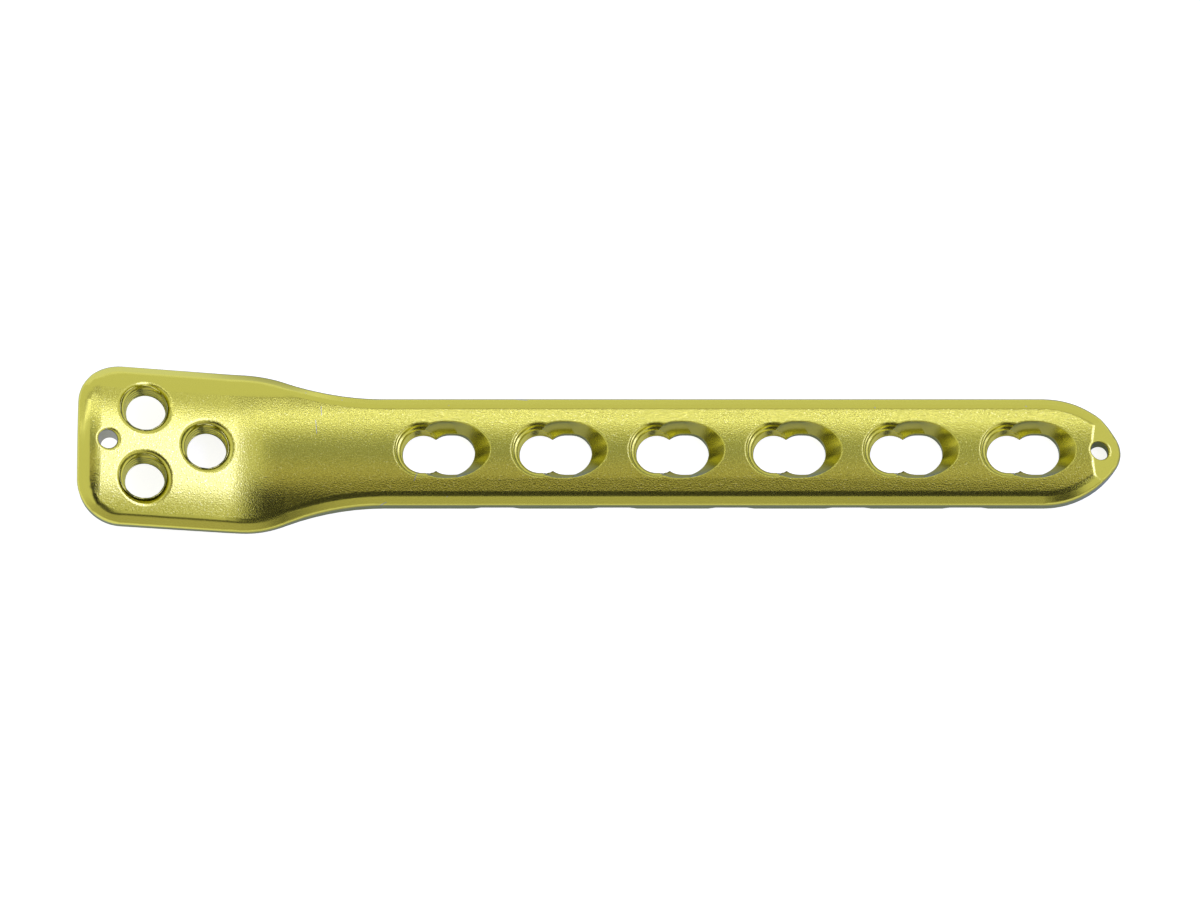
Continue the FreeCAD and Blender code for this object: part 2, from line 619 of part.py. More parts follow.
plan = outline()
feature("Pad", "blank", plan, SideType="Two sides", Length="sizes.shaft_thickness + sizes.headroom",
        Length2="sizes.spare")
cut_underside()
cut_crown()
dress("Fillet", "end_crease", end_crease, Radius="sizes.end_blend")
dress("Chamfer", "bevel", wall_and_top, ChamferType="Two distances", Size="sizes.bevel_width",
      Size2="sizes.bevel_drop")
dress("Fillet", "bevel_edge", bevel_and_wall, Radius="sizes.edge_round")
dress("Fillet", "bevel_crease", crease, Radius="sizes.crease_round")
dress("Fillet", "underside_edge", under_edge, Radius="sizes.under_round")
for name, axis in zip(("head_single", "head_near", "head_far"), LOCKING_AXES):
    head_hole(name, axis, "sizes.head_thread")
head_hole("wire_of_head", WIRE_HEAD_AXIS, "sizes.wire_radius")
dress("Fillet", "locking_rims", rims_at(LOCKING_AXES, "sizes.head_thread"), Radius="sizes.head_rim_round")
dress("Fillet", "wire_head_rim", rims_at([WIRE_HEAD_AXIS], "sizes.wire_radius"),
      Radius="sizes.wire_rim_round")
cut_facet()
round_hole("wire_of_tip", WIRE_TIP_AXIS, "sizes.wire_radius", "-sizes.spare",
           "sizes.shaft_thickness + sizes.spare")
dress("Fillet", "wire_tip_rim", rims_at([WIRE_TIP_AXIS], "sizes.wire_radius"), Radius="sizes.tip_rim_round")
cut_undercuts()
cut_locking_lobes()
cut_compression_ends()

doc.recompute()
for item in doc.Objects:
    if {"Invalid", "Error"} & set(item.State):
        raise RuntimeError(f"{item.Name} did not build: {item.State}")
plate = body.Shape
if plate.isNull() or not plate.isValid():
    raise RuntimeError("the plate is not a valid solid")

os.makedirs("parts", exist_ok=True)
plate.exportStep(f"parts/{body.Label}.step")
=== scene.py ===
"""Looks of a locking bone plate: gold anodised finish, screw threads, soft studio light and camera.

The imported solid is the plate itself. This script gives it its finish, adds the thread ridges that
line its locking holes, and sets the floor, the lit panels and the camera. Lengths are in metres.
"""

import logging
import math
from dataclasses import dataclass, field
from enum import Enum

import bmesh
import bpy
from mathutils import Matrix, Vector

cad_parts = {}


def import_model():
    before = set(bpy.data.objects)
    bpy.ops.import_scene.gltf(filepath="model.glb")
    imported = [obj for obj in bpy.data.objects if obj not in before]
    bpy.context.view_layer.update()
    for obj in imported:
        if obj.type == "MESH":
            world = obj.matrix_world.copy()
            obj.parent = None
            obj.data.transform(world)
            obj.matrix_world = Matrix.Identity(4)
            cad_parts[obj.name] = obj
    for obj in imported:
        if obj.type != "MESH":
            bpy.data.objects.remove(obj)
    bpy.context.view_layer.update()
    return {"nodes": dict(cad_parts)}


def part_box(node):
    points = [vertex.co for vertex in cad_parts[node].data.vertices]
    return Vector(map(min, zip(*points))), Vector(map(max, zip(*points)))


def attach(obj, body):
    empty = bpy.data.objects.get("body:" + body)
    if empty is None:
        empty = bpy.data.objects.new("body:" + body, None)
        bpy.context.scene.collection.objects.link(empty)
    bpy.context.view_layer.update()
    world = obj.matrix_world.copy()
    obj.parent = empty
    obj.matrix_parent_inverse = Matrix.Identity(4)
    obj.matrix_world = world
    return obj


log = logging.getLogger("bone_plate")

MM = 0.001
NODE = "bone_plate"

Socket = bpy.types.NodeSocket
Colour = tuple[float, float, float]


@dataclass(frozen=True)
class Step:
    """A smooth step from 0 at low to 1 at high."""

    low: float
    high: float


class Graph:
    """A small helper that builds shader nodes and joins them."""

    def __init__(self, tree: bpy.types.NodeTree) -> None:
        """Start on an emptied node tree."""
        self.tree = tree
        tree.nodes.clear()

    def node(self, kind: str, **settings: object) -> bpy.types.Node:
        """Add one node.

        Args:
            kind: Blender's name for the node type, without the ShaderNode prefix.
            settings: Properties to set on the node.

        Returns:
            The new node.
        """
        made = self.tree.nodes.new(f"ShaderNode{kind}")
        for key, setting in settings.items():
            setattr(made, key, setting)
        return made

    def feed(self, source: Socket | float | Colour | Vector, target: Socket) -> None:
        """Link an output to an input, or set the input to a constant.

        Args:
            source: A socket, a number, a colour or a vector.
            target: The input.
        """
        if isinstance(source, bpy.types.NodeSocket):
            self.tree.links.new(source, target)
        elif isinstance(source, tuple):
            target.default_value = (*source, 1.0)
        else:
            target.default_value = source

    def math(self, operation: str, *values: Socket | float) -> Socket:
        """Add a Math node.

        Args:
            operation: The node's operation.
            values: Numbers or sockets for its inputs, in order.

        Returns:
            The result's socket.
        """
        made = self.node("Math", operation=operation)
        for item, target in zip(values, made.inputs):
            self.feed(item, target)
        return made.outputs[0]

    def product(self, first: Socket | float, *others: Socket | float) -> Socket | float:
        """Return the product of two or more numbers or sockets."""
        for other in others:
            first = self.math("MULTIPLY", first, other)
        return first

    def rest(self, share: Socket | float) -> Socket:
        """Return what a share leaves of 1."""
        return self.math("SUBTRACT", 1.0, share)

    def vector(self, operation: str, first: Socket, second: Socket | Vector) -> Socket:
        """Add a Vector Math node.

        Args:
            operation: The node's operation.
            first: Socket of the first vector.
            second: Socket or constant of the second one.

        Returns:
            The result's socket: a number for a distance or a dot product, and a vector otherwise.
        """
        made = self.node("VectorMath", operation=operation)
        self.feed(first, made.inputs[0])
        self.feed(second, made.inputs[1])
        return made.outputs["Value" if operation in {"DISTANCE", "DOT_PRODUCT"} else "Vector"]

    def split(self, vector: Socket) -> tuple[Socket, Socket, Socket]:
        """Return the sockets of a vector's X, Y and Z."""
        parts = self.node("SeparateXYZ")
        self.feed(vector, parts.inputs[0])
        return parts.outputs["X"], parts.outputs["Y"], parts.outputs["Z"]

    def ramp(self, source: Socket, step: Step) -> Socket:
        """Return a smooth step of a number."""
        made = self.node("MapRange", interpolation_type="SMOOTHSTEP")
        self.feed(source, made.inputs["Value"])
        self.feed(step.low, made.inputs["From Min"])
        self.feed(step.high, made.inputs["From Max"])
        return made.outputs["Result"]

    def noise(self, source: Socket, size: float, detail: float) -> Socket:
        """Return a noise pattern.

        Args:
            source: Socket of the coordinates.
            size: About how large its features are.
            detail: How many finer layers it has.

        Returns:
            A socket between 0 and 1.
        """
        made = self.node("TexNoise")
        self.feed(source, made.inputs["Vector"])
        self.feed(1 / size, made.inputs["Scale"])
        self.feed(detail, made.inputs["Detail"])
        return made.outputs["Fac"]

    def mix(self, share: Socket | float, first: Socket | Colour, second: Socket | Colour) -> Socket:
        """Mix two colours.

        Args:
            share: Share of the second colour.
            first: Colour or socket.
            second: Colour or socket.

        Returns:
            The mixed colour's socket.
        """
        made = self.node("Mix", data_type="RGBA")
        factor, first_colour, second_colour = made.inputs[0], made.inputs[6], made.inputs[7]
        self.feed(share, factor)
        self.feed(first, first_colour)
        self.feed(second, second_colour)
        return made.outputs[2]


def new_material(name: str) -> tuple[bpy.types.Material, Graph]:
    """Make a material with an empty graph."""
    material = bpy.data.materials.new(name)
    material.use_nodes = True
    return material, Graph(material.node_tree)


@dataclass(frozen=True)
class Mark:
    """A short scratch or a speck on the surface, as a stroke in the plate's plan, in millimetres."""

    start: tuple[float, float]
    end: tuple[float, float]
    width: float = 0.09
    core: float = 0.4
    shortest: float = 0.01

    def mask(self, graph: Graph, flat: Socket) -> Socket:
        """Return 1 on the stroke and 0 elsewhere.

        Args:
            graph: The material's graph.
            flat: Object coordinates with their height taken out.

        Returns:
            A socket between 0 and 1.
        """
        start = Vector((*self.start, 0)) * MM
        stroke = Vector((*self.end, 0)) * MM - start
        length = max(stroke.length, self.shortest * MM)
        offset = graph.vector("SUBTRACT", flat, start)
        along = graph.vector("DOT_PRODUCT", offset, stroke / length)
        along = graph.math("MINIMUM", graph.math("MAXIMUM", along, 0.0), length)
        nearest = graph.node("VectorMath", operation="SCALE")
        graph.feed(stroke / length, nearest.inputs[0])
        graph.feed(along, nearest.inputs["Scale"])
        away = graph.vector("DISTANCE", offset, nearest.outputs[0])
        return graph.rest(graph.ramp(away, Step(self.core * self.width * MM, self.width * MM)))


class Cut(Enum):
    """How a surface of the plate was finished, by the name of its material."""

    BLASTED = "anodised_gold"
    THREADED = "anodised_gold_sharp"


@dataclass(frozen=True)
class AnodisedGold:
    """Gold anodised titanium, blasted on the crowned top and smooth on bevels and in holes.

    The steps named after a direction are taken of the surface normal, and bound the blasted zone.
    """

    colour: Colour = (0.62, 0.595, 0.105)
    # Grain tone with painted shade in its pits and painted glints on its peaks, which follow the bump's
    # height.
    painted_pit_shade: Colour = (0.42, 0.40, 0.06)
    painted_peak_glint: Colour = (0.95, 0.93, 0.48)
    worn: Colour = (0.44, 0.45, 0.40)
    # A pale neutral grey with a neutral edge tint, given to the upright wall of the head's wire hole.
    grey_wall: Colour = (0.82, 0.85, 0.86)
    edge_tint: Colour = (0.50, 0.62, 0.85)
    grey_wall_tint: Colour = (0.92, 0.92, 0.92)
    blasted_roughness: float = 0.19
    smooth_roughness: float = 0.20
    grain_size: float = 0.21 * MM
    grain_detail: float = 2.0
    grain_height: float = 0.022 * MM
    pit: Step = Step(0.30, 0.58)
    pit_share: float = 0.52
    peak: Step = Step(0.60, 0.74)
    peak_share: float = 0.55
    rim_radius: float = 0.32 * MM
    rim_samples: int = 6
    speck_size: float = 1.1 * MM
    speck_detail: float = 4.0
    speck: Step = Step(0.735, 0.76)
    far: Step = Step(0.16, 0.34)
    near: Step = Step(-0.44, -0.37)
    level: Step = Step(0.80, 0.86)
    end: Step = Step(-0.06, 0.0)
    tip: Step = Step(0.36, 0.44)
    leaning: Step = Step(0.25, 0.6)
    worn_above: float = 0.2
    wire_wall_reach: float = 1.08
    marks: tuple[Mark, ...] = (
        Mark((-0.85, -3.5), (-1.3, -4.9)),
        Mark((-15.7, 6.9), (-15.6, 5.5), 0.07),
        Mark((-16.5, 4.7), (-16.3, 2.5), 0.07),
        Mark((-12.5, 8.1), (-12.5, 8.1), 0.14),
        Mark((-18.1, 9.3), (-18.1, 9.3), 0.12),
        Mark((-5.6, -8.0), (-6.5, -8.4), 0.08),
        Mark((-19.0, -11.0), (-19.1, -11.1), 0.14),
        Mark((14.2, 8.3), (16.0, 8.1), 0.08),
    )

    def blasted_zone(self, graph: Graph, normal: Socket) -> Socket:
        """Return 1 where the surface faces up as the crowned top does, and 0 on bevels and walls.

        Args:
            graph: The material's graph.
            normal: The surface's normal.

        Returns:
            A socket between 0 and 1.
        """
        along, across, up = graph.split(normal)
        far = graph.rest(graph.ramp(across, self.far))
        near = graph.ramp(across, self.near)
        level = graph.ramp(up, self.level)
        end = graph.ramp(along, self.end)
        tip = graph.rest(graph.ramp(along, self.tip))
        return graph.product(far, near, level, end, tip)

    def grained(self, graph: Graph, grain: Socket, blasted: Socket | float) -> Socket:
        """Return the gold with painted shade in the grain's pits and painted glints on its peaks.

        Args:
            graph: The material's graph.
            grain: The grain's noise.
            blasted: Share of the grain at each place.

        Returns:
            The colour's socket.
        """
        pits = graph.rest(graph.ramp(grain, self.pit))
        peaks = graph.ramp(grain, self.peak)
        # painted shade in the grain's pits, then painted glints on its peaks
        tone = graph.mix(graph.product(pits, blasted, self.pit_share), self.colour, self.painted_pit_shade)
        return graph.mix(graph.product(peaks, blasted, self.peak_share), tone, self.painted_peak_glint)

    def wear(self, graph: Graph, place: Socket, flat: Socket, up: Socket, blasted: Socket | float) -> Socket:
        """Return 1 on the scratches and specks, and 0 elsewhere.

        Args:
            graph: The material's graph.
            place: Object coordinates.
            flat: The same with their height taken out.
            up: Height part of the surface's normal.
            blasted: Share of the grain at each place, where the small specks don't show.

        Returns:
            A socket between 0 and 1.
        """
        speck = graph.ramp(graph.noise(place, self.speck_size, self.speck_detail), self.speck)
        speck = graph.product(speck, graph.rest(blasted))
        for mark in self.marks:
            speck = graph.math("MAXIMUM", speck, mark.mask(graph, flat))
        return graph.product(speck, graph.math("GREATER_THAN", up, self.worn_above))

    def wire_wall(self, graph: Graph, flat: Socket, up: Socket, hole: Vector, radius: float) -> Socket:
        """Return 1 on the upright wall of the wire hole, which takes a pale neutral grey.

        Args:
            graph: The material's graph.
            flat: Object coordinates with their height taken out.
            up: Height part of the surface's normal.
            hole: The hole's axis.
            radius: The hole's radius.

        Returns:
            A socket between 0 and 1.
        """
        upright = graph.rest(graph.ramp(up, self.leaning))
        away = graph.vector("DISTANCE", flat, hole)
        return graph.product(graph.math("LESS_THAN", away, radius * self.wire_wall_reach), upright)

    def relief(self, graph: Graph, grain: Socket, blasted: Socket) -> Socket:
        """Return the normal with the grain's relief, and with sharp rims rounded off a little.

        Args:
            graph: The material's graph.
            grain: The grain's noise.
            blasted: Share of the grain at each place.

        Returns:
            The normal's socket.
        """
        bump = graph.node("Bump")
        graph.feed(self.grain_height, bump.inputs["Distance"])
        graph.feed(blasted, bump.inputs["Strength"])
        graph.feed(grain, bump.inputs["Height"])
        rims = graph.node("Bevel", samples=self.rim_samples)
        graph.feed(self.rim_radius, rims.inputs["Radius"])
        graph.feed(rims.outputs["Normal"], bump.inputs["Normal"])
        return bump.outputs["Normal"]

    def build(self, cut: Cut, wire_hole: Vector, wire_radius: float) -> bpy.types.Material:
        """Make the material.

        Args:
            cut: How the surface was finished. The threads have no grain, and their edges stay sharp.
            wire_hole: Axis of the wire hole whose wall takes a pale neutral grey.
            wire_radius: Its radius.

        Returns:
            The finished material.
        """
        material, graph = new_material(cut.value)
        place = graph.node("TexCoord").outputs["Object"]
        flat = graph.vector("MULTIPLY", place, Vector((1, 1, 0)))
        normal = graph.node("NewGeometry").outputs["Normal"]
        up = graph.split(normal)[2]
        blasted = self.blasted_zone(graph, normal) if cut is Cut.BLASTED else 0.0
        grain = graph.noise(place, self.grain_size, self.grain_detail)

        gold = self.grained(graph, grain, blasted)
        worn = graph.mix(self.wear(graph, place, flat, up, blasted), gold, self.worn)
        grey_wall = self.wire_wall(graph, flat, up, wire_hole, wire_radius)
        rough = graph.node("MapRange")
        graph.feed(blasted, rough.inputs["Value"])
        graph.feed(self.smooth_roughness, rough.inputs["To Min"])
        graph.feed(self.blasted_roughness, rough.inputs["To Max"])

        shader = graph.node("BsdfPrincipled")
        graph.feed(1.0, shader.inputs["Metallic"])
        graph.feed(graph.mix(grey_wall, self.edge_tint, self.grey_wall_tint), shader.inputs["Specular Tint"])
        graph.feed(graph.mix(grey_wall, worn, self.grey_wall), shader.inputs["Base Color"])
        graph.feed(rough.outputs["Result"], shader.inputs["Roughness"])
        if cut is Cut.BLASTED:
            graph.feed(self.relief(graph, grain, blasted), shader.inputs["Normal"])
        graph.feed(shader.outputs["BSDF"], graph.node("OutputMaterial").inputs["Surface"])
        return material


def as_mesh(name: str, shape: bmesh.types.BMesh) -> bpy.types.Mesh:
    """Turn a bmesh into a mesh, and free it."""
    mesh = bpy.data.meshes.new(name)
    shape.to_mesh(mesh)
    shape.free()
    return mesh


def put_in_scene(name: str, mesh: bpy.types.Mesh) -> bpy.types.Object:
    """Show a mesh as an object at the origin."""
    made = bpy.data.objects.new(name, mesh)
    bpy.context.scene.collection.objects.link(made)
    return made


def gather(joined: bmesh.types.BMesh, mesh: bpy.types.Mesh) -> None:
    """Add a mesh to a bmesh, and remove the mesh."""
    joined.from_mesh(mesh)
    bpy.data.meshes.remove(mesh)


def add_piece(name: str, shape: bmesh.types.BMesh, material: bpy.types.Material) -> bpy.types.Object:
    """Turn a bmesh into an object that rides with the plate.

    Args:
        name: The object's name.
        shape: The mesh, which is freed.
        material: Its finish.

    Returns:
        The new object, at the origin.
    """
    mesh = as_mesh(name, shape)
    mesh.materials.append(material)
    made = put_in_scene(name, mesh)
    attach(made, "root")
    return made


def wind(shape: bmesh.types.BMesh, outline: list[tuple[float, float]], angle: float, steps: int,
         rise: float = 0.0) -> None:
    """Wind a closed section round the upright axis at the origin.

    Args:
        shape: The mesh to wind it in.
        outline: The section's points, as distances from the axis and heights.
        angle: How far it is wound. A full turn without a rise is closed.
        steps: Number of steps in all.
        rise: How far it climbs at each step.
    """
    points = [shape.verts.new((reach, 0, up)) for reach, up in outline]
    edges = [shape.edges.new((point, points[index - 1])) for index, point in enumerate(points)]
    bmesh.ops.spin(shape, geom=points + edges, cent=(0, 0, 0), axis=(0, 0, 1), angle=angle,
                   dvec=(0, 0, rise), steps=steps, use_merge=not rise)


def close_holes(shape: bmesh.types.BMesh) -> None:
    """Close every open edge loop of a mesh, whatever its number of sides."""
    bmesh.ops.holes_fill(shape, edges=[edge for edge in shape.edges if edge.is_boundary], sides=0)


def trim(shape: bmesh.types.BMesh, point: Vector, normal: Vector) -> None:
    """Cut a closed mesh by a plane, drop what lies beyond it, and close the cut.

    Args:
        shape: The mesh to cut.
        point: A point of the plane.
        normal: The plane's normal, towards the side that is dropped.
    """
    geometry = shape.verts[:] + shape.edges[:] + shape.faces[:]
    bmesh.ops.bisect_plane(shape, geom=geometry, plane_co=point, plane_no=normal, clear_outer=True)
    close_holes(shape)


@dataclass
class ThreadForm:
    """The helical ridge of a locking thread, wound inside an upright hole.

    Its foot lies on the hole's wall and a little inside it. Both the foot's and the crest's radius
    run in a straight line from the lower end to the upper one, and the ends may lie on a slope.
    """

    wall_low: float
    wall_high: float
    crest_low: float
    crest_high: float
    low: float
    high: float
    low_slope: float = 0.0
    high_slope: float = 0.0
    run_out: float = 0.0
    pitch: float = 1.0 * MM
    base: float = 0.96 * MM
    crest: float = 0.42 * MM
    sunk: float = 0.05 * MM
    steps_per_turn: int = 96
    spare_turns: int = 1
    foot_mark: float = 2.5
    crest_mark: float = 1.5

    def radius_at(self, across: float, height: float, foot_asked: bool) -> float:
        """Return the radius of the ridge's foot or crest at one place.

        Args:
            across: Distance from the axis along X, for holes whose ends lie on a slope.
            height: Height over the plate's underside.
            foot_asked: Whether the foot is meant.

        Returns:
            The radius, which near the upper end widens to the wall where the thread runs out.
        """
        low = self.low + self.low_slope * across
        high = self.high + self.high_slope * across
        share = (height - low) / (high - low)
        foot = self.wall_low + (self.wall_high - self.wall_low) * share + self.sunk
        if foot_asked:
            return foot
        crest = self.crest_low + (self.crest_high - self.crest_low) * share
        if self.run_out and share > 1.0 - self.run_out:
            crest += (foot - crest) * min(1.0, (share - 1.0 + self.run_out) / self.run_out)
        return crest

    def build(self, centre: Vector) -> bmesh.types.BMesh:
        """Wind the ridge, with a spare turn beyond each end for the trim.

        The section is wound at two marked radii first, and each point then takes its own radius.

        Args:
            centre: A point on the hole's axis. Only its X and Y count.

        Returns:
            A closed mesh of the ridge, at its place.
        """
        shape = bmesh.new()
        start = self.low - self.spare_turns * self.pitch
        turns = (self.high - self.low) / self.pitch + 2 * self.spare_turns
        steps = round(turns * self.steps_per_turn)
        outline = [(self.foot_mark, start - self.base / 2), (self.crest_mark, start - self.crest / 2),
                   (self.crest_mark, start + self.crest / 2), (self.foot_mark, start + self.base / 2)]
        wind(shape, outline, math.tau * turns, steps, self.pitch / self.steps_per_turn)
        close_holes(shape)
        between = (self.foot_mark + self.crest_mark) / 2
        for vertex in shape.verts:
            reach = math.hypot(vertex.co.x, vertex.co.y)
            radius = self.radius_at(vertex.co.x / reach * self.wall_high, vertex.co.z, reach > between)
            vertex.co.x *= radius / reach
            vertex.co.y *= radius / reach
        bmesh.ops.translate(shape, verts=shape.verts, vec=(centre.x, centre.y, 0))
        bmesh.ops.recalc_face_normals(shape, faces=shape.faces)
        return shape


@dataclass
class HeadThreads:
    """Threads of the three locking holes in the head, which rises above the shaft."""

    single: float = -33.3 * MM
    side: float = 10.7 * MM
    corner: float = math.radians(60.0)
    wall: float = 3.5 * MM
    exit_radius: float = 2.97 * MM
    mouth_radius: float = 3.22 * MM
    depth: float = 0.36 * MM
    top_slope: float = math.radians(18.0)
    under_slope: float = math.radians(16.5)
    top_start: float = -25.4 * MM
    under_start: float = -26.2 * MM
    thickness: float = 4.6 * MM
    run_out: float = 0.22
    collar_height: float = 0.35 * MM
    collar_steps: int = 96
    rim: float = 0.62 * MM
    margin: float = 0.06 * MM

    def centres(self) -> list[Vector]:
        """Return the three axes."""
        pair, half = self.single - self.side * math.sin(self.corner), self.side / 2
        return [Vector((self.single, 0, 0)), Vector((pair, -half, 0)), Vector((pair, half, 0))]

    def collar(self, outer: float, foot: Vector) -> bmesh.types.BMesh:
        """Make the plain collar at a thread's exit, with both ends on the underside's slope.

        Args:
            outer: Its outer radius.
            foot: Where its axis meets its lower end.

        Returns:
            A closed mesh of the collar.
        """
        shape = bmesh.new()
        inner, height = self.exit_radius, self.collar_height
        outline = [(inner, 0), (outer, 0), (outer, height), (inner, height)]
        wind(shape, outline, math.tau, self.collar_steps)
        for vertex in shape.verts:
            vertex.co.z -= math.tan(self.under_slope) * vertex.co.x
        bmesh.ops.translate(shape, verts=shape.verts, vec=foot)
        bmesh.ops.recalc_face_normals(shape, faces=shape.faces)
        return shape

    def thread(self, centre: Vector) -> list[bmesh.types.BMesh]:
        """Make one hole's thread.

        Args:
            centre: The hole's axis.

        Returns:
            Closed meshes of the ridge and of the collar.
        """
        down = Vector((-math.sin(self.under_slope), 0, -math.cos(self.under_slope)))
        up = Vector((math.sin(self.top_slope), 0, math.cos(self.top_slope)))
        under = (self.under_start - centre.x) * math.tan(self.under_slope)
        top = self.thickness + (self.top_start - centre.x) * math.tan(self.top_slope)
        low = Vector((centre.x, centre.y, under)) - down * self.margin
        high = Vector((centre.x, centre.y, top)) - up * self.rim
        form = ThreadForm(self.exit_radius + self.depth, self.wall, self.exit_radius, self.mouth_radius,
                          low.z, high.z, low_slope=-math.tan(self.under_slope),
                          high_slope=-math.tan(self.top_slope), run_out=self.run_out)
        ridge = form.build(centre)
        trim(ridge, low, down)
        trim(ridge, high, up)
        return [ridge, self.collar(self.wall + form.sunk, Vector((centre.x, centre.y, low.z)))]

    def build(self, material: bpy.types.Material) -> bpy.types.Object:
        """Make the three threads as one piece.

        Args:
            material: Their finish.

        Returns:
            The new object.
        """
        joined = bmesh.new()
        for centre in self.centres():
            for part in self.thread(centre):
                gather(joined, as_mesh("thread", part))
        return add_piece("head_threads", joined, material)


@dataclass
class ShaftThreads:
    """Threads of the locking ends of the six combination holes.

    The lower length lies in the conical bore, and the upper one in the countersink over it.
    """

    hole_pitch: float = 18.0 * MM
    count: int = 6
    exit_wall: float = 3.35 * MM
    taper: float = math.radians(4.0)
    height: float = 3.1 * MM
    top: float = 4.3 * MM
    top_wall: float = 4.34 * MM
    thread_pitch: float = 0.72 * MM
    base: float = 0.62 * MM
    crest: float = 0.18 * MM
    ridge: float = 0.22 * MM
    margin: float = 0.06 * MM
    slot_centre: float = 3.98 * MM
    slot_radius: float = 3.22 * MM
    slot_depth: float = 12.4 * MM
    ball_centre: float = 2.96 * MM
    ball_height: float = 4.2 * MM
    ball_radius: float = 4.44 * MM
    round_steps: int = 96
    ball_rings: int = 64
    cutters: list[bpy.types.Object] = field(default_factory=list)

    def cutter(self, name: str, shape: bmesh.types.BMesh) -> bpy.types.Object:
        """Make a helper object that cuts the threads and is removed afterwards."""
        made = put_in_scene(name, as_mesh(name, shape))
        self.cutters.append(made)
        return made

    def cut_to_slot(self, ridge: bmesh.types.BMesh) -> bpy.types.Mesh:
        """Cut a full ridge back to the wall that is left beside the smooth end of the hole.

        Args:
            ridge: The full ridge, which is freed.

        Returns:
            The cut mesh.
        """
        slot = bmesh.new()
        bmesh.ops.create_cone(slot, cap_ends=True, segments=self.round_steps, radius1=self.slot_radius,
                              radius2=self.slot_radius, depth=self.slot_depth)
        bmesh.ops.translate(slot, verts=slot.verts, vec=(self.slot_centre, 0, 0))
        ball = bmesh.new()
        bmesh.ops.create_uvsphere(ball, u_segments=self.round_steps, v_segments=self.ball_rings,
                                  radius=self.ball_radius)
        bmesh.ops.translate(ball, verts=ball.verts, vec=(self.ball_centre, 0, self.ball_height))
        whole = self.cutter("ridge", ridge)
        for name, shape in (("slot", slot), ("ball", ball)):
            cut = whole.modifiers.new(name, "BOOLEAN")
            cut.object = self.cutter(name, shape)
            cut.operation = "DIFFERENCE"
            cut.solver = "EXACT"
        graph = bpy.context.evaluated_depsgraph_get()
        mesh = bpy.data.meshes.new_from_object(whole.evaluated_get(graph))
        for helper in self.cutters:
            bpy.data.objects.remove(helper)
        self.cutters.clear()
        return mesh

    def length(self, low: float, high: float, wall_low: float, wall_high: float) -> bpy.types.Mesh:
        """Make one length of a hole's thread, round the origin.

        Args:
            low: Height of its lower end.
            high: Height of its upper end.
            wall_low: The wall's radius at the lower end.
            wall_high: The wall's radius at the upper end.

        Returns:
            The mesh, cut back to the locking end of the hole.
        """
        form = ThreadForm(wall_low, wall_high, wall_low - self.ridge, wall_high - self.ridge, low, high,
                          pitch=self.thread_pitch, base=self.base, crest=self.crest)
        ridge = form.build(Vector((0, 0, 0)))
        trim(ridge, Vector((0, 0, max(low, self.margin))), Vector((0, 0, -1)))
        trim(ridge, Vector((0, 0, high)), Vector((0, 0, 1)))
        return self.cut_to_slot(ridge)

    def build(self, material: bpy.types.Material) -> bpy.types.Object:
        """Make the six threads as one piece.

        Args:
            material: Their finish.

        Returns:
            The new object.
        """
        sink_wall = self.exit_wall + self.height * math.tan(self.taper)
        one_hole = bmesh.new()
        gather(one_hole, self.length(0.0, self.height, self.exit_wall, sink_wall))
        gather(one_hole, self.length(self.height, self.top, sink_wall, self.top_wall))
        mesh = as_mesh("thread", one_hole)
        joined = bmesh.new()
        for index in range(self.count):
            mesh.transform(Matrix.Translation((self.hole_pitch if index else 0, 0, 0)))
            joined.from_mesh(mesh)
        bpy.data.meshes.remove(mesh)
        return add_piece("shaft_threads", joined, material)


@dataclass
class Plate:
    """The plate itself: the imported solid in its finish, with its threads."""

    finish: AnodisedGold
    wire_hole: float = -47.9 * MM
    wire_radius: float = 1.4 * MM

    def dress(self, node: bpy.types.Object) -> list[bpy.types.Object]:
        """Give the solid its finish and add the threads.

        Args:
            node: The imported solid.

        Returns:
            The pieces that were added.
        """
        wire_hole = Vector((self.wire_hole, 0, 0))
        node.data.materials.clear()
        node.data.materials.append(self.finish.build(Cut.BLASTED, wire_hole, self.wire_radius))
        threaded = self.finish.build(Cut.THREADED, wire_hole, self.wire_radius)
        return [HeadThreads().build(threaded), ShaftThreads().build(threaded)]


@dataclass(frozen=True)
class Panel:
    """A level panel over the plate or an upright one beside it, seen only as a reflection.

    A lit panel is a soft lamp. A dim one is a card that keeps the surround's light off a direction.
    """

    name: str
    low: tuple[float, float, float]
    high: tuple[float, float, float]
    glow: float
    tint: Colour = (1.0, 1.0, 1.0)

    def build(self) -> bpy.types.Object:
        """Make the panel as a rectangle between its two corners, glowing evenly.

        Returns:
            The panel's object.
        """
        low, high = Vector(self.low), Vector(self.high)
        reach = high - low
        shape = bmesh.new()
        bmesh.ops.create_grid(shape, x_segments=1, y_segments=1, size=0.5)
        if reach.z:
            turn = Matrix.Rotation(math.radians(90.0), 3, "X")
            bmesh.ops.rotate(shape, verts=shape.verts, cent=(0, 0, 0), matrix=turn)
        bmesh.ops.scale(shape, verts=shape.verts, vec=reach)
        bmesh.ops.translate(shape, verts=shape.verts, vec=(low + high) / 2)
        material, graph = new_material(self.name)
        light = graph.node("Emission")
        graph.feed(self.tint, light.inputs["Color"])
        graph.feed(self.glow, light.inputs["Strength"])
        graph.feed(light.outputs[0], graph.node("OutputMaterial").inputs["Surface"])
        mesh = as_mesh(self.name, shape)
        mesh.materials.append(material)
        made = put_in_scene(self.name, mesh)
        made.visible_camera = False
        return made


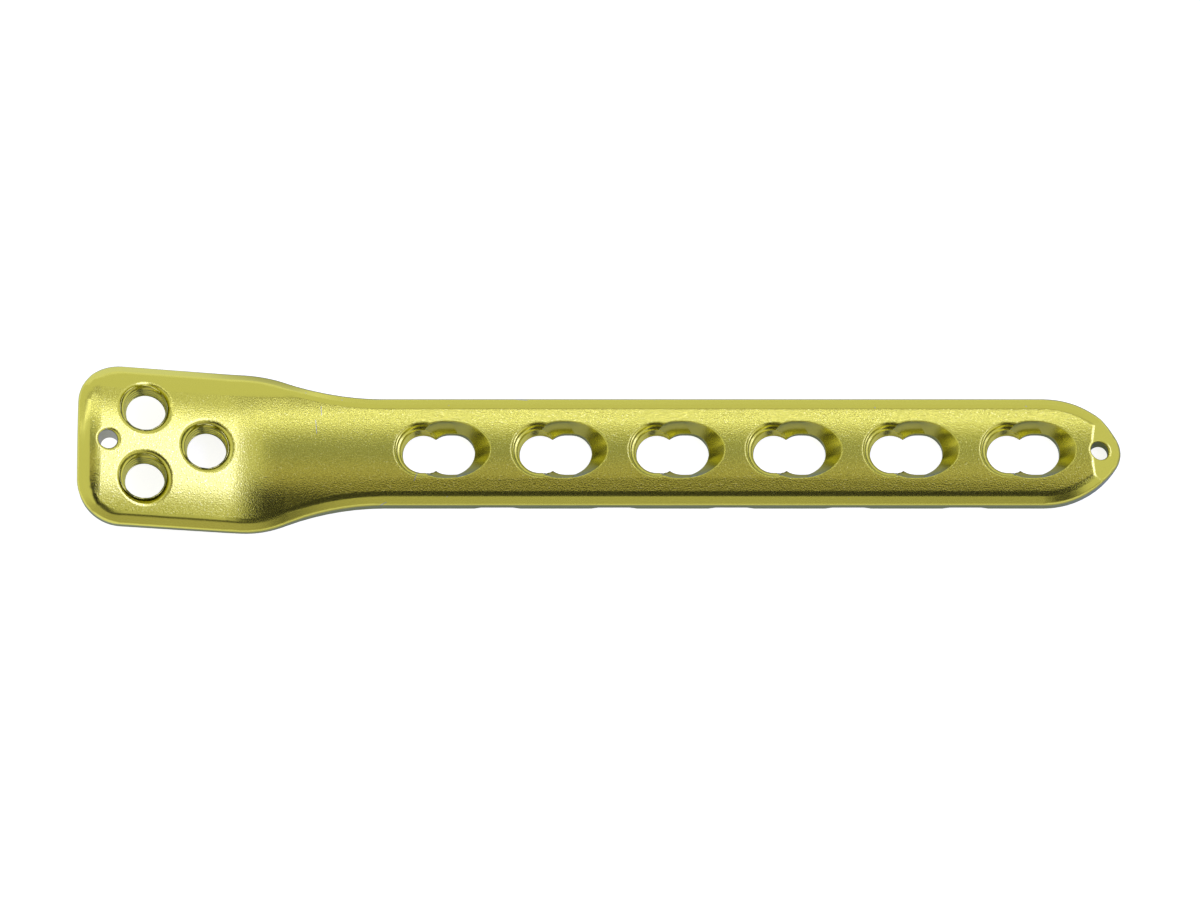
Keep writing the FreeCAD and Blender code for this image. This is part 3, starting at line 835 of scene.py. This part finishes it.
@dataclass
class Studio:
    """A pale floor in a light tent, with soft panels and dark cards over and beside the plate.

    The floor's glow makes it white to the camera. Reflections see a share of that glow, which a
    painted shadow keeps low under the plate's footprint.
    """

    middle: Vector
    floor_size: float = 6.0
    floor_gap: float = 0.05 * MM
    floor_shade: float = 0.5
    floor_glow: float = 0.84
    floor_mirrored: float = 0.81
    # painted shadow: reflections see only this share of the glow under the plate's footprint
    painted_shadow_mirrored: float = 0.14
    under_low: float = -45.0 * MM
    under_high: float = 100.0 * MM
    painted_shadow_edge: Step = Step(13.0 * MM, 22.0 * MM)
    tent_glow: float = 0.85
    panels: tuple[Panel, ...] = (
        Panel("roof_card", (-0.45, 0.14, 1.6), (0.30, 0.62, 1.6), 0.40, (0.95, 1.0, 1.05)),
        Panel("warm_card", (-0.45, -0.20, 1.6), (0.30, 0.14, 1.6), 0.60, (1.07, 0.97, 0.80)),
        Panel("dark_card", (-0.45, -2.10, 1.6), (0.60, -0.20, 1.6), 0.04),
        Panel("dark_wing", (0.60, -2.20, 1.6), (0.92, -0.95, 1.6), 0.04),
        Panel("near_card", (-3.00, -2.20, 0.0), (3.00, -2.20, 1.5), 0.60, (1.0, 0.96, 0.9)),
        Panel("near_wing", (0.35, -2.15, 0.8), (1.30, -2.15, 1.58), 0.06),
        Panel("far_gap", (-2.80, 1.14, 1.6), (1.00, 1.72, 1.6), 0.50),
        Panel("far_strip", (-2.80, 0.94, 1.6), (1.50, 1.12, 1.6), 2.8, (1.0, 1.0, 1.5)),
        Panel("side_box", (0.86, -0.47, 1.6), (2.20, 0.90, 1.6), 3.0, (0.90, 0.90, 2.30)),
    )

    def mirrored_share(self, graph: Graph) -> Socket:
        """Return the share of the floor's glow that reflections see, with a painted shadow under the plate.

        Args:
            graph: The floor material's graph.

        Returns:
            A socket between 0 and 1.
        """
        along, across, _ = graph.split(graph.node("TexCoord").outputs["Object"])
        before = graph.math("SUBTRACT", self.under_low, along)
        beyond = graph.math("SUBTRACT", along, self.under_high)
        offset = graph.node("CombineXYZ")
        graph.feed(graph.math("MAXIMUM", graph.math("MAXIMUM", before, beyond), 0.0), offset.inputs["X"])
        graph.feed(across, offset.inputs["Y"])
        away = graph.vector("DISTANCE", offset.outputs[0], Vector((0, 0, 0)))
        gained = graph.product(graph.ramp(away, self.painted_shadow_edge), self.floor_mirrored - self.painted_shadow_mirrored)
        return graph.math("ADD", gained, self.painted_shadow_mirrored)

    def floor(self) -> bpy.types.Object:
        """Make the floor, white to the camera and still taking a faint shadow.

        Returns:
            The floor's object.
        """
        shape = bmesh.new()
        bmesh.ops.create_grid(shape, x_segments=1, y_segments=1, size=self.floor_size / 2)
        bmesh.ops.translate(shape, verts=shape.verts, vec=(self.middle.x, 0, -self.floor_gap))
        mesh = as_mesh("floor", shape)
        material, graph = new_material("pale_floor")
        matte = graph.node("BsdfDiffuse")
        graph.feed((self.floor_shade,) * 3, matte.inputs["Color"])
        path = graph.node("LightPath")
        seen = graph.math("MAXIMUM", path.outputs["Is Camera Ray"], path.outputs["Is Transmission Ray"])
        # reflections see the glow with a painted shadow under the plate
        mirrored = graph.product(path.outputs["Is Glossy Ray"], self.mirrored_share(graph))
        strength = graph.product(graph.math("MAXIMUM", seen, mirrored), self.floor_glow)
        glow = graph.node("Emission")
        graph.feed(strength, glow.inputs["Strength"])
        both = graph.node("AddShader")
        graph.feed(matte.outputs[0], both.inputs[0])
        graph.feed(glow.outputs[0], both.inputs[1])
        graph.feed(both.outputs[0], graph.node("OutputMaterial").inputs["Surface"])
        mesh.materials.append(material)
        return put_in_scene("floor", mesh)

    def tent(self) -> None:
        """Set the even surround, which is white to the camera."""
        world = bpy.data.worlds.new("surround")
        world.use_nodes = True
        graph = Graph(world.node_tree)
        back = graph.node("Background")
        graph.feed((1.0, 1.0, 1.0), back.inputs["Color"])
        unseen = graph.rest(graph.node("LightPath").outputs["Is Camera Ray"])
        graph.feed(graph.rest(graph.product(unseen, 1.0 - self.tent_glow)), back.inputs["Strength"])
        graph.feed(back.outputs[0], graph.node("OutputWorld").inputs["Surface"])
        bpy.context.scene.world = world

    def build(self) -> None:
        """Set up the floor, the surround and the panels."""
        self.tent()
        self.floor()
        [panel.build() for panel in self.panels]


@dataclass
class PhotoCamera:
    """The camera at the photograph's angle."""

    middle: Vector = field(default_factory=lambda: Vector((27.22 * MM, 0.934 * MM, 0)))
    tilt: float = math.radians(13.0)
    distance: float = 1.138
    span: float = 185.04 * MM
    sensor: float = 36.0
    clip_near: float = 0.05
    clip_far: float = 20.0

    def build(self) -> bpy.types.Object:
        """Make the camera and set it as the scene's.

        Returns:
            The camera's object.
        """
        data = bpy.data.cameras.new("photo_camera")
        data.sensor_fit = "HORIZONTAL"
        data.sensor_width = self.sensor
        data.lens = self.sensor * self.distance / self.span
        data.clip_start, data.clip_end = self.clip_near, self.clip_far
        camera = bpy.data.objects.new("photo_camera", data)
        back = Vector((0, -math.sin(self.tilt), math.cos(self.tilt)))
        camera.location = self.middle + back * self.distance
        camera.rotation_euler = (self.tilt, 0, 0)
        bpy.context.scene.collection.objects.link(camera)
        bpy.context.scene.camera = camera
        return camera


def main() -> None:
    """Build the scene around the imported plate."""
    logging.basicConfig(level=logging.INFO, format="%(name)s: %(message)s")
    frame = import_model()
    for piece in Plate(AnodisedGold()).dress(frame["nodes"][NODE]):
        log.info("%s has %d faces", piece.name, len(piece.data.polygons))
    low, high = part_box(NODE)
    Studio(Vector(((low[0] + high[0]) / 2, 0, 0))).build()
    camera = PhotoCamera().build()
    log.info("%s looks from %s", camera.name, tuple(round(part, 3) for part in camera.location))
    bpy.context.scene.view_settings.view_transform = "Standard"


if __name__ == "__main__":
    main()
